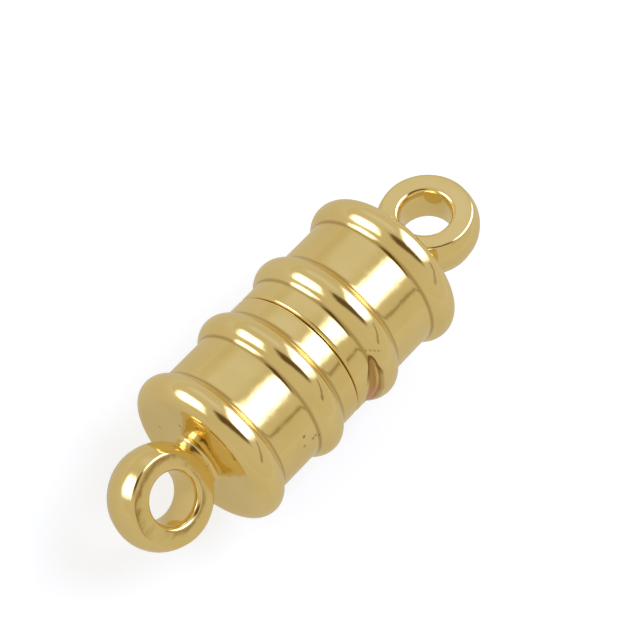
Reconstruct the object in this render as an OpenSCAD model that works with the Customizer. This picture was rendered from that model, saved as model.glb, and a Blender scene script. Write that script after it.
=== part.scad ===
// Magnetic clasp for a necklace or bracelet: two turned and plated half shells, each with a
// cross-drilled loop at its end, held together by a disc magnet in each shell.
// The clasp lies along X, with the near half towards -X and the origin in the middle of the seam.

/* [Magnets] */
// Diameter of each disc magnet
magnet_diameter = 5; // [3:0.1:8]
// Thickness of each disc magnet
magnet_thickness = 3; // [1.5:0.1:4]
// Radius of the rounded edge of a magnet
magnet_edge = 0.15; // [0.05:0.05:0.4]
// Clearance between a magnet and its pocket, all round and behind
magnet_clearance = 0.05; // [0.02:0.01:0.1]

/* [Shell] */
// Wall thickness around the magnet's pocket
shell_wall = 0.55; // [0.4:0.05:1.5]
// Length of a shell from its lip to its end face
shell_length = 5.86; // [5:0.02:10]
// Gap between the two lips when the magnets meet
lip_gap = 0.08; // [0.04:0.02:0.3]
// Radius of the rounded outer edge of the lip
lip_edge = 0.14; // [0.05:0.01:0.3]
// Chamfer at the mouth of the pocket
mouth_chamfer = 0.1; // [0.05:0.01:0.2]

/* [Beads] */
// How far a bead stands above the plain wall
bead_height = 0.4; // [0.2:0.05:0.7]
// Width of a bead where it meets the plain wall
bead_width = 1.52; // [1.2:0.02:1.8]
// Distance from the lip to the crest of the inner bead
inner_bead_from_lip = 1.62; // [1.2:0.02:2.2]
// Radius that rounds the end bead over into the end face
end_round = 0.72; // [0.4:0.02:1]

/* [Loop] */
// Outer diameter of the loop
loop_diameter = 4.18; // [3.6:0.02:7]
// Thickness of the loop along its hole
loop_thickness = 1.76; // [1.5:0.02:2.4]
// Radius of the rounded outer edges of the loop
loop_edge = 0.5; // [0.1:0.05:0.6]
// Diameter of the hole through the loop
hole_diameter = 2; // [1:0.1:2.4]
// Radius of the rounded rims of the hole
hole_rim = 0.32; // [0.1:0.02:0.5]
// How much nearer to the shell the hole is than the middle of the loop
hole_offset = 0.08; // [0:0.02:0.3]
// Gap between the loop's outline and the end face, bridged by the neck
loop_gap = 0.09; // [0:0.01:0.6]
// Diameter of the neck between the end face and the loop
neck_diameter = 1.6; // [1.2:0.05:2]
// Radius of the fillet where the neck meets the end face
neck_fillet = 0.16; // [0.05:0.01:0.3]
// Lean of the near loop's hole from upright towards -Y, in degrees
near_lean = 33; // [-90:1:90]
// Lean of the far loop's hole from upright towards -Y, in degrees
far_lean = -24; // [-90:1:90]

/* [Hidden] */
$fn = 96;
plating = [0.86, 0.72, 0.4];
nickel = [0.78, 0.78, 0.8];
// How far a cutter reaches past the face that it cuts
cut_over = 0.2;

pocket_radius = magnet_diameter / 2 + magnet_clearance;
// The magnets stand proud of the lips by half the gap, and their backs clear the pocket floors
pocket_depth = magnet_thickness + magnet_clearance - lip_gap / 2;
wall_radius = pocket_radius + shell_wall;
crest_radius = wall_radius + bead_height;
// A bead is an arc through its two edges and its crest
bead_arc = (pow(bead_width / 2, 2) + pow(bead_height, 2)) / (2 * bead_height);
end_bead_crest = shell_length - end_round;
hole_radius = hole_diameter / 2;
loop_radius = loop_diameter / 2;
neck_radius = neck_diameter / 2;
loop_centre = shell_length + loop_gap + loop_radius;
hole_centre = loop_centre - hole_offset;

// Half section of a disc with rounded edges, its axis on Y and its middle at height 0
module rounded_disc_section(radius, thickness, edge) {
    translate([0, -thickness / 2]) square([radius - edge, thickness]);
    translate([0, edge - thickness / 2]) square([radius, thickness - 2 * edge]);
    for (side = [-1, 1])
        translate([radius - edge, side * (thickness / 2 - edge)]) circle(edge);
}

// Half section of a stem's foot that flares out to the surface at height 0
module flare_section(stem_radius, flare) {
    difference() {
        square([stem_radius + flare, flare]);
        translate([stem_radius + flare, flare]) circle(flare);
    }
}

// Half section of one bead, with its crest at the given height
module bead_section(crest) {
    translate([crest_radius - bead_arc, crest]) circle(bead_arc);
}

// Half section of the shell and its neck without the pocket, with the lip at height 0
module turned_section() {
    // Plain wall, with a rounded lip
    translate([0, lip_edge]) square([wall_radius, end_bead_crest - lip_edge]);
    square([wall_radius - lip_edge, end_bead_crest]);
    translate([wall_radius - lip_edge, lip_edge]) circle(lip_edge);
    intersection() {
        union() {
            bead_section(inner_bead_from_lip);
            bead_section(end_bead_crest);
        }
        square([crest_radius, end_bead_crest]);
    }
    // End bead rounded over into the flat end face
    translate([crest_radius - end_round, end_bead_crest]) circle(end_round);
    square([crest_radius - end_round, shell_length]);
    // Neck of the loop, flared out at its foot
    square([neck_radius, hole_centre]);
    translate([0, shell_length]) flare_section(neck_radius, neck_fillet);
}

// Half section of the magnet's pocket, open at the lip
module pocket_section() {
    translate([0, -cut_over]) square([pocket_radius, cut_over + pocket_depth]);
    polygon([[0, 0], [pocket_radius + mouth_chamfer, 0], [pocket_radius, mouth_chamfer], [0, mouth_chamfer]]);
}

// Through hole of the loop along X, with a rounded rim at each face
module loop_hole() {
    rotate([0, 90, 0]) {
        cylinder(h = loop_thickness + 2 * cut_over, r = hole_radius, center = true);
        for (side = [0, 1])
            mirror([0, 0, side]) translate([0, 0, -loop_thickness / 2]) {
                rotate_extrude() flare_section(hole_radius, hole_rim);
                translate([0, 0, -cut_over]) cylinder(h = cut_over, r = hole_radius + hole_rim);
            }
    }
}

// Ring of the loop without its hole, with the shell's axis along Z and the hole's axis along X
module loop_ring() {
    translate([0, 0, loop_centre]) rotate([0, 90, 0])
        rotate_extrude() rounded_disc_section(loop_radius, loop_thickness, loop_edge);
}

// One half shell along +Z from its lip at height 0, open towards -Z
module half_shell() {
    difference() {
        union() {
            rotate_extrude() difference() {
                turned_section();
                pocket_section();
            }
            loop_ring();
        }
        translate([0, 0, hole_centre]) loop_hole();
    }
}

// One magnet along +Z, with its front face at height 0
module magnet() {
    translate([0, 0, magnet_thickness / 2])
        rotate_extrude() rounded_disc_section(magnet_diameter / 2, magnet_thickness, magnet_edge);
}

// Turns what is built along +Z to run along +X (side 1) or -X (side -1), then turns it about X
module along_x(side, lean) {
    rotate([lean, 0, 0]) rotate([0, side * 90, 0]) children();
}

module near_shell() {
    color(plating) along_x(-1, near_lean) translate([0, 0, lip_gap / 2]) half_shell();
}

module near_magnet() {
    color(nickel) along_x(-1, near_lean) magnet();
}

module far_shell() {
    color(plating) along_x(1, far_lean) translate([0, 0, lip_gap / 2]) half_shell();
}

module far_magnet() {
    color(nickel) along_x(1, far_lean) magnet();
}

near_shell();
near_magnet();
far_shell();
far_magnet();
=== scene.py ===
# Magnetic clasp: two turned, gold plated half shells with end loops, closed by disc magnets.
# Everything is in metres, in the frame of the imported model, with the clasp's axis along X.
# The sizes in the dictionaries of the pieces and marks are in millimetres and degrees.

import math

import bpy
from mathutils import Matrix, Vector


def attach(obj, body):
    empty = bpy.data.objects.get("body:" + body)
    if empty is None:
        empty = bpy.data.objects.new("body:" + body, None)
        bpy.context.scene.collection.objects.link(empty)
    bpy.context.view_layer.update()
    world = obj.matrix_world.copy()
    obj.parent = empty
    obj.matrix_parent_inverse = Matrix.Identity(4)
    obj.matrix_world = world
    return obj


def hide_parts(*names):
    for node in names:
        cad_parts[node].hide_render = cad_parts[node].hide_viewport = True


mm = 0.001
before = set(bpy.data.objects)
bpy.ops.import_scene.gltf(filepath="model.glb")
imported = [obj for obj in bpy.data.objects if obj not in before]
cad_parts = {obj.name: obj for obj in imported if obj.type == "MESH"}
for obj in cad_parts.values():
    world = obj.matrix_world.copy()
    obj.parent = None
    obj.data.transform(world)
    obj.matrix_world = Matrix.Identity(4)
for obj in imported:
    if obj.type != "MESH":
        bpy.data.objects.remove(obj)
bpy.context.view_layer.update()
print("frame loaded")


# Camera, at the photograph's viewing angle

cameraLook = {
    "place": (-46.19 * mm, -6.478 * mm, 108.641 * mm),
    "right": (0.64121, -0.72980, 0.23713),
    "up": (0.65276, 0.68121, 0.33145),
    "lens": 170.54,
    "sensor": 36,
    "clipStart": 1 * mm,
    "clipEnd": 10,
}


def placeCamera(look):
    right = Vector(look["right"]).normalized()
    back = right.cross(Vector(look["up"])).normalized()
    up = back.cross(right)
    turn = Matrix((right, up, back)).transposed().to_4x4()
    camera = bpy.data.objects.new("camera", bpy.data.cameras.new("camera"))
    camera.matrix_world = Matrix.Translation(look["place"]) @ turn
    camera.data.lens = look["lens"]
    camera.data.sensor_width = look["sensor"]
    camera.data.clip_start = look["clipStart"]
    camera.data.clip_end = look["clipEnd"]
    bpy.context.scene.collection.objects.link(camera)
    bpy.context.scene.camera = camera


placeCamera(cameraLook)
print("camera placed")


# Small helpers for modelling

mergeDistance = 0.0005 * mm
selectSlack = 0.01  # mm past the limit of a selection, so that it takes in the points on it


def deselectAll():
    if bpy.context.object and bpy.context.object.mode != "OBJECT":
        bpy.ops.object.mode_set(mode="OBJECT")
    bpy.ops.object.select_all(action="DESELECT")


def makeActive(piece):
    deselectAll()
    piece.select_set(True)
    bpy.context.view_layer.objects.active = piece


def selectVerts(piece, test):
    # Selects the vertices whose place passes the test, and stays in edit mode
    bpy.ops.object.mode_set(mode="EDIT")
    bpy.ops.mesh.select_mode(type="VERT")
    bpy.ops.mesh.select_all(action="DESELECT")
    bpy.ops.object.mode_set(mode="OBJECT")
    for vert in piece.data.vertices:
        vert.select = test(vert.co)
    bpy.ops.object.mode_set(mode="EDIT")


def arcPoints(centre, radius, start, end, count):
    # Points on an arc in the drawing plane, angles in degrees, first and last included
    points = []
    for step in range(count + 1):
        angle = math.radians(start + (end - start) * step / count)
        points.append((centre[0] + radius * math.cos(angle),
                       centre[1] + radius * math.sin(angle)))
    return points


def drawProfile(name, points):
    # A plane merged to one vertex is extruded from point to point, x along and y out from the axis
    deselectAll()
    bpy.ops.mesh.primitive_plane_add(size=0.1 * mm, location=(0, 0, 0))
    piece = bpy.context.object
    piece.name = name
    piece.data.name = name
    bpy.ops.object.mode_set(mode="EDIT")
    bpy.ops.mesh.select_mode(type="VERT")
    bpy.ops.mesh.select_all(action="SELECT")
    bpy.ops.mesh.merge(type="CENTER")
    last = points[0]
    bpy.ops.transform.translate(value=(last[0] * mm, last[1] * mm, 0))
    for point in points[1:]:
        step = ((point[0] - last[0]) * mm, (point[1] - last[1]) * mm, 0)
        bpy.ops.mesh.extrude_region_move(TRANSFORM_OT_translate={"value": step})
        last = point
    bpy.ops.object.mode_set(mode="OBJECT")
    return piece


def spinProfile(piece, axis, steps):
    bpy.ops.object.mode_set(mode="EDIT")
    bpy.ops.mesh.select_all(action="SELECT")
    bpy.ops.mesh.spin(steps=steps, angle=math.tau, center=(0, 0, 0), axis=axis)
    bpy.ops.mesh.select_all(action="SELECT")
    bpy.ops.mesh.remove_doubles(threshold=mergeDistance)
    bpy.ops.mesh.normals_make_consistent(inside=False)
    bpy.ops.object.mode_set(mode="OBJECT")


def applyModifier(piece, kind, **settings):
    makeActive(piece)
    modifier = piece.modifiers.new(kind.lower(), kind)
    for key, value in settings.items():
        setattr(modifier, key, value)
    bpy.ops.object.modifier_apply(modifier=modifier.name)


def turnCopy(piece, name, aboutZ, lean):
    # A copy with its own mesh, turned end for end about Z and then leaned about X
    copy = piece.copy()
    copy.data = piece.data.copy()
    copy.name = name
    copy.data.name = name
    bpy.context.scene.collection.objects.link(copy)
    makeActive(copy)
    for turn in ((0, 0, aboutZ), (math.radians(lean), 0, 0)):
        copy.rotation_euler = turn
        bpy.ops.object.transform_apply(location=False, rotation=True, scale=False)
    return copy


print("helpers ready")


# Half shell: pocket, lip, two beads, plain wall, end face and neck, turned about X

shell = {
    "lip": 0.015,  # from the middle of the seam
    "pocketRadius": 2.55,
    "pocketFloor": 3.05,
    "mouth": 0.1,  # chamfer of the pocket
    "wallRadius": 3.1,
    "lipEdge": 0.14,
    "crestRadius": 3.5,
    "beadArc": 1.1245,  # radius of the crest and of a foot together
    "beadFillet": 0.4,
    "innerBead": 1.66,
    "beadHalfWidth": 0.86,
    "endBead": 5.18,
    "endRound": 0.72,
    "neckRadius": 0.8,
    "neckFillet": 0.16,
    "neckEnd": 6.62,
    "neckWide": 1.42,  # times as wide along the ring
    "floorSteps": 3,
    "wallSteps": 6,
    "faceSteps": 4,
    "filletSteps": 6,
    "footSteps": 7,
    "crestSteps": 12,
    "endSteps": 20,
    "steps": 192,
    "smoothAngle": 32,
    "nearLean": 33,
    "farLean": -24,
}

# Ring of the loop, round its own hole
loop = {
    "middle": 8.06,
    "holeShift": 0.06,  # towards the shell
    "radius": 2.12,
    "halfThick": 0.9,
    "faceRadius": 1.76,
    "edge": 0.17,
    "holeWaist": 1.0,
    "holeMouth": 1.07,
    "holeRim": 0.2,
    "sideSteps": 12,
    "edgeSteps": 5,
    "rimSteps": 8,
    "holeSteps": 6,
    "steps": 128,
}


def beadPoints(crest, whole):
    # A round crest between two hollow feet that run into the wall, or its first half only
    fillet = shell["beadFillet"]
    crestArc = shell["beadArc"] - fillet
    slope = math.degrees(math.asin(shell["beadHalfWidth"] / shell["beadArc"]))
    foot = (crest - shell["beadHalfWidth"], shell["wallRadius"] + fillet)
    top = (crest, shell["crestRadius"] - crestArc)
    points = arcPoints(foot, fillet, -90, slope - 90, shell["footSteps"])
    points += arcPoints(top, crestArc, 90 + slope, 90, shell["crestSteps"])[1:]
    if whole:
        points += [(2 * crest - point[0], point[1]) for point in reversed(points[:-1])]
    return points


def shellProfile():
    wall = shell["wallRadius"]
    lip = shell["lip"]
    lipEdge = shell["lipEdge"]
    pocket = shell["pocketRadius"]
    fillet = shell["neckFillet"]
    endRound = shell["endRound"]
    endFace = shell["endBead"] + endRound
    faceOut = shell["crestRadius"] - endRound
    flare = shell["neckRadius"] + fillet
    beadFoot = shell["innerBead"] + shell["beadHalfWidth"]
    wallEnd = shell["endBead"] - shell["beadHalfWidth"]

    floorSteps = shell["floorSteps"]
    points = [(shell["pocketFloor"], pocket * part / floorSteps)
              for part in range(floorSteps + 1)]
    points += [(lip + shell["mouth"], pocket), (lip, pocket + shell["mouth"])]
    points += arcPoints((lip + lipEdge, wall - lipEdge), lipEdge, 180, 90, shell["filletSteps"])
    points += beadPoints(shell["innerBead"], True)
    wallStep = (wallEnd - beadFoot) / shell["wallSteps"]
    points += [(beadFoot + wallStep * part, wall) for part in range(1, shell["wallSteps"])]
    points += beadPoints(shell["endBead"], False)
    points += arcPoints((shell["endBead"], faceOut), endRound, 90, 0, shell["endSteps"])[1:]
    faceStep = (flare - faceOut) / shell["faceSteps"]
    points += [(endFace, faceOut + faceStep * part) for part in (1, 2)]
    points += arcPoints((endFace + fillet, flare), fillet, 180, 270, shell["filletSteps"])
    points += [(shell["neckEnd"], shell["neckRadius"]), (shell["neckEnd"], 0)]
    return points


def loopProfile():
    # Closed section of the ring, x along the hole's axis and y out from it: a bulging side,
    # rounded edges, flat faces, and a hole that opens a little towards its rounded rims
    edge = loop["edge"]
    rim = loop["holeRim"]
    foot = (loop["halfThick"] - edge, loop["faceRadius"] + edge)
    rise = loop["radius"] - foot[1]
    bulge = (foot[0] ** 2 + rise ** 2) / (2 * rise)
    spread = math.degrees(math.asin(foot[0] / bulge))
    wallEnd = loop["halfThick"] - rim
    opening = loop["holeMouth"] - loop["holeWaist"]
    hollow = (wallEnd ** 2 + opening ** 2) / (2 * opening)
    tilt = math.degrees(math.asin(wallEnd / hollow))

    points = arcPoints((0, loop["radius"] - bulge), bulge, 90, 90 - spread, loop["sideSteps"])
    points += arcPoints((foot[0], loop["faceRadius"]), edge, 90 - spread, 0, loop["edgeSteps"])[1:]
    points += arcPoints((wallEnd, loop["holeMouth"] + rim), rim, 0, tilt - 90, loop["rimSteps"])
    points += arcPoints((0, loop["holeWaist"] + hollow), hollow, tilt - 90, -90,
                        loop["holeSteps"])[1:]
    points += [(-point[0], point[1]) for point in reversed(points[:-1])]
    return points


def buildHalf():
    body = drawProfile("halfBody", shellProfile())
    spinProfile(body, (1, 0, 0), shell["steps"])

    # The neck is an oval, wider along the ring than across it
    endFace = (shell["endBead"] + shell["endRound"] - selectSlack) * mm
    neckOut = (shell["neckRadius"] + shell["neckFillet"] + selectSlack) * mm
    selectVerts(body, lambda co: co.x > endFace and math.hypot(co.y, co.z) < neckOut)
    bpy.ops.transform.resize(value=(1, shell["neckWide"], 1))
    bpy.ops.object.mode_set(mode="OBJECT")

    # The ring is spun about X as its hole's axis, its hole is moved a little towards the shell,
    # and then it is stood up along Z
    ring = drawProfile("halfRing", loopProfile())
    spinProfile(ring, (1, 0, 0), loop["steps"])
    rimOut = (loop["holeMouth"] + loop["holeRim"] + selectSlack) * mm
    selectVerts(ring, lambda co: math.hypot(co.y, co.z) < rimOut)
    bpy.ops.transform.translate(value=(0, 0, loop["holeShift"] * mm))
    bpy.ops.object.mode_set(mode="OBJECT")
    makeActive(ring)
    ring.rotation_euler = (0, math.radians(-90), 0)
    ring.location = (loop["middle"] * mm, 0, 0)
    bpy.ops.object.transform_apply(location=True, rotation=True, scale=False)

    applyModifier(body, "BOOLEAN", operation="UNION", solver="EXACT", object=ring)
    bpy.data.objects.remove(ring)
    makeActive(body)
    bpy.ops.object.shade_smooth_by_angle(angle=math.radians(shell["smoothAngle"]))
    return body


halfBody = buildHalf()
nearShell = turnCopy(halfBody, "nearShell", math.pi, shell["nearLean"])
farShell = turnCopy(halfBody, "farShell", 0, shell["farLean"])
bpy.data.objects.remove(halfBody)
print("half shells modelled", len(nearShell.data.polygons), "faces each")


# Shader nodes

def newNode(tree, kind, place, **settings):
    node = tree.nodes.new(kind)
    node.location = place
    for key, value in settings.items():
        setattr(node, key, value)
    return node


def feed(tree, socket, value):
    # Another node's output is linked to the socket, and a number or a colour is set on it
    if isinstance(value, bpy.types.NodeSocket):
        tree.links.new(value, socket)
    elif socket.type == "RGBA":
        socket.default_value = (*value, 1.0)
    else:
        socket.default_value = value


def mathNode(tree, operation, place, *values):
    node = newNode(tree, "ShaderNodeMath", place, operation=operation)
    for socket, value in zip(node.inputs, values):
        feed(tree, socket, value)
    return node.outputs[0]


def vectorNode(tree, operation, place, *values):
    node = newNode(tree, "ShaderNodeVectorMath", place, operation=operation)
    for socket, value in zip(node.inputs, values):
        feed(tree, socket, value)
    return node


def mapRange(tree, place, value, low, high, newLow=0.0, newHigh=1.0):
    node = newNode(tree, "ShaderNodeMapRange", place, interpolation_type="SMOOTHSTEP")
    for label, amount in (("Value", value), ("From Min", low), ("From Max", high),
                          ("To Min", newLow), ("To Max", newHigh)):
        feed(tree, node.inputs[label], amount)
    return node.outputs["Result"]


def fadeOut(tree, place, value, low, high, full=1.0):
    # Full up to low, and nothing past high
    return mapRange(tree, place, value, low, high, full, 0.0)


def awayFrom(tree, place, value, centre):
    # How far a value is from a centre, on either side
    offset = mathNode(tree, "SUBTRACT", (place[0] - 150, place[1]), value, centre)
    return mathNode(tree, "ABSOLUTE", place, offset)


def noiseNode(tree, place, vector, scale, detail=3.0, roughness=0.5):
    node = newNode(tree, "ShaderNodeTexNoise", place)
    for label, value in (("Vector", vector), ("Scale", scale),
                         ("Detail", detail), ("Roughness", roughness)):
        feed(tree, node.inputs[label], value)
    return node.outputs["Fac"]


def pitDots(tree, place, vector, scale, size, channel, share):
    # Round dots in a few of the cells of a random pattern, picked by one channel of their colour
    cells = newNode(tree, "ShaderNodeTexVoronoi", place, feature="F1")
    feed(tree, cells.inputs["Vector"], vector)
    feed(tree, cells.inputs["Scale"], scale)
    pick = newNode(tree, "ShaderNodeSeparateColor", (place[0] + 200, place[1] - 150))
    tree.links.new(cells.outputs["Color"], pick.inputs["Color"])
    dot = fadeOut(tree, (place[0] + 400, place[1]), cells.outputs["Distance"], *size)
    chosen = mapRange(tree, (place[0] + 400, place[1] - 150), pick.outputs[channel], *share)
    return mathNode(tree, "MULTIPLY", (place[0] + 600, place[1]), dot, chosen)


def mixColor(tree, place, factor, first, second):
    # Sockets 0, 6 and 7 are the factor and the two colours
    node = newNode(tree, "ShaderNodeMix", place, data_type="RGBA")
    for index, value in ((0, factor), (6, first), (7, second)):
        feed(tree, node.inputs[index], value)
    return node.outputs[2]


def tint(tree, place, tone, color, mask, share):
    # The tone goes towards a colour where the mask is, by a share of the way
    amount = mathNode(tree, "MULTIPLY", (place[0] - 200, place[1] - 200), mask, share)
    return mixColor(tree, place, amount, tone, color)


# Node groups that more than one material uses

plating = {
    "cloudRange": (0.3, 0.7),
    "pitSize": (0.07, 0.17),
    "pitShare": (0.955, 0.985),
    "pitShake": 0.12,
    "shakeScale": 6000.0,
    "scuffStretch": (1.0, 0.06, 0.06),
    "scuffRange": (0.55, 0.72),
    "waveScale": 850.0,
}

# Bands of the turned shape, measured from the shell's own sizes
ridges = {
    "crestDepth": 0.14,
    "creaseFromCrest": 0.71,
    "creaseReach": 0.12,
    "underWall": (-0.1, -0.05),
    "overWall": (0.01, 0.1),
}


def newGroup(name, numbers, masks):
    # A group that takes a vector and the named numbers, and puts out the named masks
    tree = bpy.data.node_groups.new(name, "ShaderNodeTree")
    tree.interface.new_socket("Vector", in_out="INPUT", socket_type="NodeSocketVector")
    for label in numbers:
        tree.interface.new_socket(label, in_out="INPUT", socket_type="NodeSocketFloat")
    for label in masks:
        tree.interface.new_socket(label, in_out="OUTPUT", socket_type="NodeSocketFloat")
    ins = newNode(tree, "NodeGroupInput", (-1200, 0))
    outs = newNode(tree, "NodeGroupOutput", (900, 0))
    return tree, ins.outputs, outs.inputs


def buildPlatingWear():
    # Cloudy tone, fine pits, scuffs round the axis and polishing waves of a plated surface
    tree, ins, outs = newGroup("platingWear", ("Cloud Scale", "Pit Scale", "Scuff Scale"),
                               ("Cloud", "Pits", "Scuffs", "Waves"))
    cloud = noiseNode(tree, (-800, 300), ins["Vector"], ins["Cloud Scale"],
                      detail=4.0, roughness=0.55)
    tree.links.new(cloud, outs["Cloud"])

    shake = newNode(tree, "ShaderNodeTexNoise", (-1200, 100))
    feed(tree, shake.inputs["Vector"], ins["Vector"])
    feed(tree, shake.inputs["Scale"], plating["shakeScale"])
    shaken = vectorNode(tree, "MULTIPLY_ADD", (-1000, 100), shake.outputs["Color"],
                        (plating["pitShake"] * mm,) * 3, ins["Vector"])
    pits = pitDots(tree, (-800, 0), shaken.outputs["Vector"], ins["Pit Scale"],
                   plating["pitSize"], "Red", plating["pitShare"])
    tree.links.new(pits, outs["Pits"])

    stretch = newNode(tree, "ShaderNodeMapping", (-1000, -400))
    feed(tree, stretch.inputs["Vector"], ins["Vector"])
    feed(tree, stretch.inputs["Scale"], plating["scuffStretch"])
    scuff = noiseNode(tree, (-800, -400), stretch.outputs["Vector"], ins["Scuff Scale"], detail=2.0)
    tree.links.new(mapRange(tree, (-500, -400), scuff, *plating["scuffRange"]), outs["Scuffs"])

    waves = noiseNode(tree, (-800, -700), ins["Vector"], plating["waveScale"], detail=2.5)
    tree.links.new(waves, outs["Waves"])
    return tree


def buildRidgeMask():
    # Crests of the beads, creases at their feet and the plain walls, from the distances along X
    # and out from it. The crease mask places the painted shade in the creases.
    tree, ins, outs = newGroup("ridgeMask", (), ("Out", "Crest", "CreaseShade", "Wall"))
    split = newNode(tree, "ShaderNodeSeparateXYZ", (-1000, 0))
    tree.links.new(ins["Vector"], split.inputs[0])
    x, y, z = split.outputs
    ySquare = mathNode(tree, "MULTIPLY", (-800, -50), y, y)
    zSquare = mathNode(tree, "MULTIPLY", (-800, -200), z, z)
    squares = mathNode(tree, "ADD", (-650, -100), ySquare, zSquare)
    out = mathNode(tree, "SQRT", (-500, -100), squares)
    along = mathNode(tree, "ABSOLUTE", (-800, 150), x)
    tree.links.new(out, outs["Out"])

    top = shell["crestRadius"]
    crest = mapRange(tree, (-300, -100), out, (top - ridges["crestDepth"]) * mm, top * mm)
    tree.links.new(crest, outs["Crest"])

    lowWall, highWall = [(shell["wallRadius"] + part) * mm for part in ridges["underWall"]]
    wallOnly = mapRange(tree, (-100, 100), out, lowWall, highWall)
    lowBead, highBead = [(shell["wallRadius"] + part) * mm for part in ridges["overWall"]]
    belowBead = fadeOut(tree, (-100, -250), out, lowBead, highBead)
    tree.links.new(mathNode(tree, "MULTIPLY", (100, -200), wallOnly, belowBead), outs["Wall"])

    # The inner bead has a crease on either side, the end bead only towards the wall
    side = ridges["creaseFromCrest"]
    creases = (shell["innerBead"] - side, shell["innerBead"] + side, shell["endBead"] - side)
    crease = None
    for row, centre in enumerate(creases):
        high = 300 + 150 * row
        away = awayFrom(tree, (-450, high), along, centre * mm)
        near = fadeOut(tree, (-300, high), away, 0.0, ridges["creaseReach"] * mm)
        crease = mathNode(tree, "MAXIMUM", (-100, high), crease, near) if crease else near
    tree.links.new(mathNode(tree, "MULTIPLY", (100, 300), crease, wallOnly), outs["CreaseShade"])
    return tree


platingWear = buildPlatingWear()
ridgeMask = buildRidgeMask()
print("node groups built")


# Materials

gold = {
    "color": (0.89, 0.73, 0.35),
    "deep": (0.85, 0.68, 0.30),
    "pale": (0.92, 0.78, 0.43),
    # Painted shade: a darker gold laid into the creases at the feet of the beads
    "crease": (0.36, 0.21, 0.06),
    "pit": (0.22, 0.11, 0.03),
    "copper": (0.52, 0.31, 0.08),
    "copperLow": (0.62, 0.23, 0.10),
    "copperEdge": (0.27, 0.15, 0.04),
    "cloudScale": 350.0,
    "pitScale": 1900.0,
    "scuffScale": 2600.0,
    "paleShare": 0.35,
    "creaseShadeShare": 0.6,
    "pitShare": 0.7,
    "copperShare": 0.9,
    "rowShare": 0.55,
    "roughness": 0.07,  # least, before what the wear adds
    "cloudRoughness": 0.06,
    "scuffRoughness": 0.05,
    "wallRoughness": 0.03,
    "copperRoughness": 0.22,
    "waveHeight": 2.4,
    "pitDepth": 0.5,
    "copperDepth": 0.4,
    "bump": 0.5,
    "bumpHeight": 0.02,
}

nickel = {
    "color": (0.74, 0.735, 0.73),
    "deep": (0.66, 0.655, 0.645),
    "rubbed": (0.84, 0.835, 0.83),
    "pit": (0.30, 0.28, 0.26),
    "cloudScale": 900.0,
    "pitScale": 2400.0,
    "scuffScale": 2600.0,
    "rubFrom": 2.0,
    "rubTo": 2.42,
    "patchScale": 1400.0,
    "patchRange": (0.42, 0.6),
    "roughness": 0.16,
    "scuffRoughness": 0.08,
    "rubRoughness": 0.16,
    "bump": 0.2,
    "bumpHeight": 0.002,
}

# Marks seen in the photograph, at a place along X and a turn round it from +Y towards +Z
# The patch is measured across in half widths and down in half turns, from its middle
copperStain = {
    "along": 0.77,
    "around": 169,
    "halfWidth": 0.38,
    "halfTurn": 36,
    "slant": 0.26,
    "squareness": 2.2,
    "tail": 0.65,
    "widening": 0.45,
    "raggedScale": 1500.0,
    "ragged": 0.4,
    "endsFrom": 0.5,
    "endsTo": 0.95,
    "endsShare": 0.3,
    "fillFade": (-0.22, 0.02),
    "strip": 0.52,
    "stripFade": (0.06, 0.22),
    "stripShare": 0.75,
    "marginFade": (-0.9, -0.55),
    "marginShare": 0.7,
    "stripEnd": (0.0, 0.45),
    "lineFade": (0.06, 0.4),
    "lineEnd": (-0.75, -0.3),
    "farSide": (0.4, 0.9),
    "farSideShare": 0.4,
    "lowRange": (-0.6, 0.1),
    "row": -1.15,
    "rowMiddle": 1.2,
    "rowStep": 0.11,
    "rowTilt": 0.38,
    "rowFade": (0.01, 0.04),
    "rowPitFade": (0.12, 0.38),
    "rowHalf": (0.24, 0.28),
}

pittedPatch = {
    "along": -2.60,
    "around": 144,
    "out": 3.1,
    "reach": 0.9,
    "pitScale": 3400.0,
    "pitSize": (0.16, 0.34),
    "pitShare": (0.66, 0.72),
}


def newMaterial(name):
    material = bpy.data.materials.new(name)
    material.use_nodes = True
    material.node_tree.nodes.clear()
    tree = material.node_tree
    shader = newNode(tree, "ShaderNodeBsdfPrincipled", (900, 0))
    output = newNode(tree, "ShaderNodeOutputMaterial", (1200, 0))
    tree.links.new(shader.outputs[0], output.inputs[0])
    coords = newNode(tree, "ShaderNodeTexCoord", (-1400, 0)).outputs["Object"]
    return material, tree, shader, coords


def useGroup(tree, group, place, **values):
    # An underscore in a keyword stands for the space in the socket's name
    node = newNode(tree, "ShaderNodeGroup", place, node_tree=group)
    for label, value in values.items():
        feed(tree, node.inputs[label.replace("_", " ")], value)
    return node.outputs


def usePlating(tree, coords, look):
    # The wear and the bands of a plated piece, and the cloudy tone that its marks go on
    wear = useGroup(tree, platingWear, (-1000, 200), Vector=coords,
                    Cloud_Scale=look["cloudScale"], Pit_Scale=look["pitScale"],
                    Scuff_Scale=look["scuffScale"])
    ridge = useGroup(tree, ridgeMask, (-1000, -200), Vector=coords)
    cloud = mapRange(tree, (-800, 400), wear["Cloud"], *plating["cloudRange"])
    tone = mixColor(tree, (-600, 300), cloud, look["deep"], look["color"])
    return wear, ridge, tone


def finishMetal(tree, shader, tone, rough, height, look):
    # Tone, roughness and a bump go into the shader of a bare metal
    tree.links.new(tone, shader.inputs["Base Color"])
    tree.links.new(rough, shader.inputs["Roughness"])
    shader.inputs["Metallic"].default_value = 1.0
    bump = newNode(tree, "ShaderNodeBump", (500, -500))
    bump.inputs["Strength"].default_value = look["bump"]
    bump.inputs["Distance"].default_value = look["bumpHeight"] * mm
    tree.links.new(height, bump.inputs["Height"])
    tree.links.new(bump.outputs["Normal"], shader.inputs["Normal"])


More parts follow.
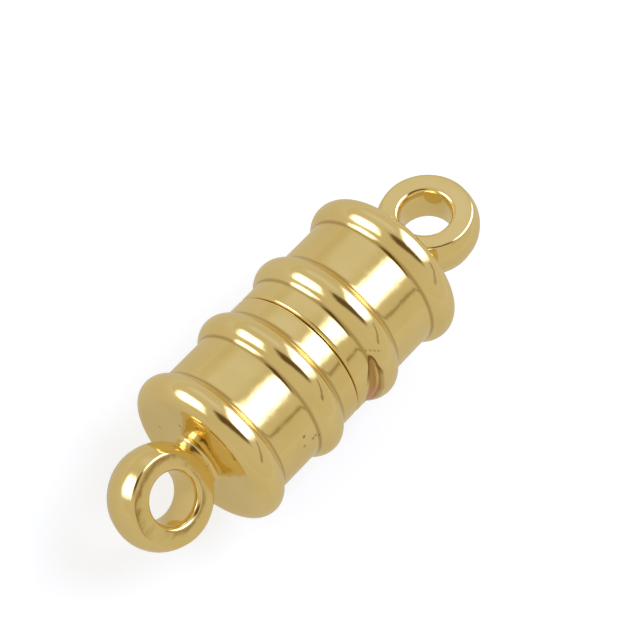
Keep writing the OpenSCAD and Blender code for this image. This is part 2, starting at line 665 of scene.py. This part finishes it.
def rowOfPits(tree, x, down, spot):
    # A short slanting row of tiny pits just above the worn patch
    fromMiddle = mathNode(tree, "SUBTRACT", (-850, -1850), x, spot["rowMiddle"] * mm)
    row = mathNode(tree, "MULTIPLY_ADD", (-700, -1700), fromMiddle, spot["rowTilt"] / mm,
                   spot["row"])
    offRow = awayFrom(tree, (-400, -1700), down, row)
    steps = mathNode(tree, "DIVIDE", (-700, -1850), fromMiddle, spot["rowStep"] * mm)
    offPit = awayFrom(tree, (-250, -1850), mathNode(tree, "FRACT", (-550, -1850), steps), 0.5)
    offMiddle = mathNode(tree, "ABSOLUTE", (-550, -2000), fromMiddle)
    line = fadeOut(tree, (-250, -1700), offRow, *spot["rowFade"])
    pits = fadeOut(tree, (-100, -1850), offPit, *spot["rowPitFade"])
    ends = fadeOut(tree, (-250, -2000), offMiddle, *[part * mm for part in spot["rowHalf"]])
    dots = mathNode(tree, "MULTIPLY", (50, -1750), line, pits)
    return mathNode(tree, "MULTIPLY", (200, -1750), dots, ends)


def stainMasks(tree, coords, spot):
    # A tongue-shaped worn patch on the wall: its fill, its dark outline, how low a point lies
    # in it, and the row of pits above it
    turn = newNode(tree, "ShaderNodeMapping", (-1400, -900))
    turn.inputs["Rotation"].default_value = (math.radians(-spot["around"]), 0, 0)
    tree.links.new(coords, turn.inputs["Vector"])
    split = newNode(tree, "ShaderNodeSeparateXYZ", (-1200, -900))
    tree.links.new(turn.outputs["Vector"], split.inputs[0])
    x, y, z = split.outputs
    angle = mathNode(tree, "ARCTAN2", (-1000, -1000), z, y)
    down = mathNode(tree, "DIVIDE", (-850, -1000), angle, math.radians(spot["halfTurn"]))
    tail = mathNode(tree, "MULTIPLY", (-850, -1100), down, spot["tail"])
    down = mathNode(tree, "MINIMUM", (-700, -1000), down, tail)

    # It slants towards the seam and widens on its way down
    slant = mathNode(tree, "MULTIPLY", (-850, -700), down, spot["slant"] * mm)
    along = mathNode(tree, "SUBTRACT", (-1000, -850), x, spot["along"] * mm)
    along = mathNode(tree, "ADD", (-850, -850), along, slant)
    wide = mathNode(tree, "MULTIPLY_ADD", (-700, -700), down, spot["widening"], 1.0)
    wide = mathNode(tree, "MULTIPLY", (-550, -700), spot["halfWidth"] * mm, wide)
    along = mathNode(tree, "DIVIDE", (-700, -850), along, wide)

    # How far a point is outside its rounded outline, which is a little ragged
    powers = []
    for row, part in enumerate((along, down)):
        size = mathNode(tree, "ABSOLUTE", (-550, -850 - 150 * row), part)
        powers.append(mathNode(tree, "POWER", (-400, -850 - 150 * row), size, spot["squareness"]))
    away = mathNode(tree, "SQRT", (-100, -900), mathNode(tree, "ADD", (-250, -900), *powers))
    away = mathNode(tree, "SUBTRACT", (0, -900), away, 1.0)
    noise = noiseNode(tree, (-1000, -1200), coords, spot["raggedScale"], roughness=0.6)
    ragged = mathNode(tree, "SUBTRACT", (-850, -1200), noise, 0.5)
    ragged = mathNode(tree, "MULTIPLY", (-100, -1200), ragged, spot["ragged"])
    away = mathNode(tree, "ADD", (50, -900), away, ragged)

    # Its edge is as thin at the two ends as along the sides
    ends = mapRange(tree, (-100, -1050), mathNode(tree, "ABSOLUTE", (-250, -1050), down),
                    spot["endsFrom"], spot["endsTo"], 1.0, spot["endsShare"])
    away = mathNode(tree, "DIVIDE", (100, -900), away, ends)

    # A paler strip and a paler margin run down its upper half
    fill = fadeOut(tree, (200, -800), away, *spot["fillFade"])
    offStrip = awayFrom(tree, (-400, -1400), along, spot["strip"])
    strip = fadeOut(tree, (-250, -1400), offStrip, *spot["stripFade"], spot["stripShare"])
    margin = fadeOut(tree, (-250, -1300), along, *spot["marginFade"], spot["marginShare"])
    strip = mathNode(tree, "MAXIMUM", (-150, -1400), strip, margin)
    upperHalf = fadeOut(tree, (-250, -1550), down, *spot["stripEnd"])
    strip = mathNode(tree, "MULTIPLY", (-100, -1500), strip, upperHalf)
    strip = mathNode(tree, "SUBTRACT", (-50, -1450), 1.0, strip)
    fill = mathNode(tree, "MULTIPLY", (350, -800), fill, strip)

    # The outline is strongest round the upper end, and softer on the side away from the seam
    line = fadeOut(tree, (350, -1000), mathNode(tree, "ABSOLUTE", (200, -1000), away),
                   *spot["lineFade"])
    upperEnd = fadeOut(tree, (200, -1250), down, *spot["lineEnd"])
    farSide = mapRange(tree, (50, -1400), along, *spot["farSide"])
    farSide = mathNode(tree, "MULTIPLY", (200, -1400), farSide, spot["farSideShare"])
    shown = mathNode(tree, "MAXIMUM", (350, -1300), upperEnd, farSide)
    line = mathNode(tree, "MULTIPLY", (500, -1000), line, shown)

    low = mapRange(tree, (200, -1550), down, *spot["lowRange"])
    return fill, line, low, rowOfPits(tree, x, down, spot)


def pittedMask(tree, coords, spot):
    # Small casting pits gathered round a place on the wall
    turn = math.radians(spot["around"])
    centre = Vector((spot["along"], spot["out"] * math.cos(turn), spot["out"] * math.sin(turn)))
    away = vectorNode(tree, "DISTANCE", (-1000, -1600), coords, centre * mm).outputs["Value"]
    near = fadeOut(tree, (-800, -1600), away, spot["reach"] / 2 * mm, spot["reach"] * mm)
    dots = pitDots(tree, (-1000, -1750), coords, spot["pitScale"], spot["pitSize"], "Green",
                   spot["pitShare"])
    return mathNode(tree, "MULTIPLY", (-200, -1700), near, dots)


def goldMaterial(name, look, stain=None, pitted=None):
    material, tree, shader, coords = newMaterial(name)
    wear, ridge, tone = usePlating(tree, coords, look)
    tone = tint(tree, (-400, 300), tone, look["pale"], ridge["Crest"], look["paleShare"])
    # Painted shade: the creases at the feet of the beads are darkened
    tone = tint(tree, (-200, 300), tone, look["crease"], ridge["CreaseShade"], look["creaseShadeShare"])
    pits = wear["Pits"]
    if pitted:
        pits = mathNode(tree, "MAXIMUM", (-400, -1600), pits, pittedMask(tree, coords, pitted))
    tone = tint(tree, (0, 300), tone, look["pit"], pits, look["pitShare"])

    # Cloudy, scuffed and dulled a little, and the plain walls more than the beads
    rough = mathNode(tree, "MULTIPLY_ADD", (0, -200), wear["Cloud"], look["cloudRoughness"],
                     look["roughness"])
    rough = mathNode(tree, "MULTIPLY_ADD", (200, -200), wear["Scuffs"], look["scuffRoughness"],
                     rough)
    rough = mathNode(tree, "MULTIPLY_ADD", (400, -200), ridge["Wall"], look["wallRoughness"], rough)
    height = mathNode(tree, "MULTIPLY", (0, -500), wear["Waves"], look["waveHeight"])
    height = mathNode(tree, "MULTIPLY_ADD", (200, -500), pits, -look["pitDepth"], height)

    if stain:
        fill, line, low, dots = stainMasks(tree, coords, stain)
        copper = mixColor(tree, (0, 500), low, look["copper"], look["copperLow"])
        tone = tint(tree, (200, 300), tone, copper, fill, look["copperShare"])
        dots = mathNode(tree, "MULTIPLY", (0, -950), dots, look["rowShare"])
        dark = mathNode(tree, "MAXIMUM", (150, -800), line, dots)
        tone = mixColor(tree, (400, 300), dark, tone, look["copperEdge"])
        rough = mathNode(tree, "MULTIPLY_ADD", (600, -200), fill, look["copperRoughness"], rough)
        height = mathNode(tree, "MULTIPLY_ADD", (350, -500), fill, -look["copperDepth"], height)
    finishMetal(tree, shader, tone, rough, height, look)
    return material


def nickelMaterial(name, look):
    # The faces are rubbed brighter and duller in a broken ring near their edge, where they meet
    material, tree, shader, coords = newMaterial(name)
    wear, ridge, tone = usePlating(tree, coords, look)
    ring = mapRange(tree, (-800, -200), ridge["Out"], look["rubFrom"] * mm, look["rubTo"] * mm)
    patchy = noiseNode(tree, (-1000, -450), coords, look["patchScale"], detail=4.0, roughness=0.6)
    patchy = mapRange(tree, (-800, -450), patchy, *look["patchRange"])
    rubbed = mathNode(tree, "MULTIPLY", (-600, -300), ring, patchy)
    tone = mixColor(tree, (-300, 300), rubbed, tone, look["rubbed"])
    tone = mixColor(tree, (-100, 300), wear["Pits"], tone, look["pit"])
    rough = mathNode(tree, "MULTIPLY_ADD", (200, -200), wear["Scuffs"], look["scuffRoughness"],
                     look["roughness"])
    rough = mathNode(tree, "MULTIPLY_ADD", (400, -200), rubbed, look["rubRoughness"], rough)
    finishMetal(tree, shader, tone, rough, wear["Scuffs"], look)
    return material


def dress(piece, material):
    piece.data.materials.clear()
    piece.data.materials.append(material)


dress(nearShell, goldMaterial("polishedGoldNear", gold, pitted=pittedPatch))
dress(farShell, goldMaterial("polishedGoldFar", gold, stain=copperStain))
nickelPlating = nickelMaterial("nickelPlating", nickel)
for magnetNode in ("near_magnet", "far_magnet"):
    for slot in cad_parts[magnetNode].material_slots:
        slot.material = nickelPlating
print("materials set")


# The new shells ride on the CAD bodies and stand for the CAD shells

for piece, body, node in ((nearShell, "near_half", "near_shell"),
                          (farShell, "far_half", "far_shell")):
    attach(piece, body)
    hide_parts(node)


# Studio: a pale floor, and a soft warm sky with two bright softboxes, a paler patch, a dark patch
# and a narrow dark strip

studio = {
    "floorHeight": -3.5 * mm,
    "floorSize": 2000 * mm,
    "floorColor": (0.15, 0.14, 0.11),
    "floorFleck": (0.14, 0.13, 0.10),
    "fleckScale": 300.0,
    "fleckShare": 0.05,
    "floorRoughness": 0.9,
    "floorInView": (0.42, 0.45, 0.50),
    "floorGlow": (0.465, 0.42, 0.33),
    "glowInView": (0.65, 0.65, 0.65),
    "backdrop": (0.99, 0.99, 0.99),
    "sky": (0.64, 0.578, 0.442),
    # Soft rectangles of the sky: facing direction, direction of the first side, half sizes
    "boxes": [
        {"facing": (0.42, 0.65, 0.63), "side": (0.96, -0.28, -0.35),
         "half": (10.0, 24.0), "soft": 9.0, "light": (0.72, 0.69, 0.64)},
        {"facing": (0.40, -0.77, 0.50), "side": (0.888, 0.46, 0.0),
         "half": (26.0, 2.2), "soft": 2.2, "light": (0.30, 0.20, 0.10)},
        {"facing": (-0.027, -0.112, 0.993), "side": (0.848, 0.523, 0.082),
         "half": (15.0, 28.5), "soft": 7.0, "light": (0.13, 0.08, 0.035)},
        {"facing": (0.686, -0.163, 0.709), "side": (-0.024, 0.969, 0.246),
         "half": (15.7, 28.8), "soft": 8.0, "light": (3.4, 3.6, 4.6)},
        {"facing": (-0.519, 0.764, 0.384), "side": (-0.825, -0.330, -0.459),
         "half": (16.5, 17.0), "soft": 8.0, "light": (3.0, 3.2, 4.1)},
    ],
}


def buildFloor():
    deselectAll()
    bpy.ops.mesh.primitive_plane_add(size=studio["floorSize"],
                                     location=(0, 0, studio["floorHeight"]))
    floor = bpy.context.object
    floor.name = "floor"
    material, tree, shader, coords = newMaterial("paleFloor")
    paper = noiseNode(tree, (-600, 0), coords, studio["fleckScale"])
    fleck = mathNode(tree, "MULTIPLY", (-450, 0), paper, studio["fleckShare"])
    tone = mixColor(tree, (-300, 0), fleck, studio["floorColor"], studio["floorFleck"])
    # The camera sees a neutral and lighter floor, and the metal a slightly warm one
    seen = newNode(tree, "ShaderNodeLightPath", (-300, 300)).outputs["Is Camera Ray"]
    tone = mixColor(tree, (0, 0), seen, tone, studio["floorInView"])
    glow = mixColor(tree, (0, -200), seen, studio["floorGlow"], studio["glowInView"])
    tree.links.new(tone, shader.inputs["Base Color"])
    tree.links.new(glow, shader.inputs["Emission Color"])
    shader.inputs["Roughness"].default_value = studio["floorRoughness"]
    shader.inputs["Emission Strength"].default_value = 1.0
    dress(floor, material)


def boxMask(tree, place, direction, box):
    # A soft rectangle around a facing direction, measured by angle sideways and up from it
    facing = Vector(box["facing"]).normalized()
    rise = facing.cross(Vector(box["side"])).normalized()
    across = rise.cross(facing)
    x, y = place
    ahead = vectorNode(tree, "DOT_PRODUCT", (x, y - 400), direction, facing).outputs["Value"]
    mask = None
    for row, (axis, half) in enumerate(zip((across, rise), box["half"])):
        level = y - 150 * row
        part = vectorNode(tree, "DOT_PRODUCT", (x, level), direction, axis).outputs["Value"]
        angle = mathNode(tree, "ARCTAN2", (x + 200, level), part, ahead)
        angle = mathNode(tree, "ABSOLUTE", (x + 350, level), angle)
        near = math.radians(half - box["soft"])
        far = math.radians(half + box["soft"])
        edge = fadeOut(tree, (x + 500, level), angle, near, far)
        mask = mathNode(tree, "MULTIPLY", (x + 700, y), mask, edge) if mask else edge
    return mask


def buildWorld():
    world = bpy.data.worlds.new("studio")
    bpy.context.scene.world = world
    world.use_nodes = True
    tree = world.node_tree
    tree.nodes.clear()
    direction = newNode(tree, "ShaderNodeTexCoord", (-1600, 0)).outputs["Generated"]
    light = studio["sky"]
    for row, box in enumerate(studio["boxes"]):
        level = 1200 - 600 * row
        mask = boxMask(tree, (-1400, level), direction, box)
        light = mixColor(tree, (-400, level), mask, light, box["light"])
    soft = newNode(tree, "ShaderNodeBackground", (0, 0))
    feed(tree, soft.inputs["Color"], light)
    plain = newNode(tree, "ShaderNodeBackground", (0, -200))
    feed(tree, plain.inputs["Color"], studio["backdrop"])
    choose = newNode(tree, "ShaderNodeMixShader", (300, 0))
    rays = newNode(tree, "ShaderNodeLightPath", (0, 300))
    tree.links.new(rays.outputs["Is Camera Ray"], choose.inputs[0])
    tree.links.new(soft.outputs[0], choose.inputs[1])
    tree.links.new(plain.outputs[0], choose.inputs[2])
    output = newNode(tree, "ShaderNodeOutputWorld", (600, 0))
    tree.links.new(choose.outputs[0], output.inputs[0])


buildFloor()
buildWorld()
bpy.context.scene.view_settings.view_transform = "Standard"
print("studio set")
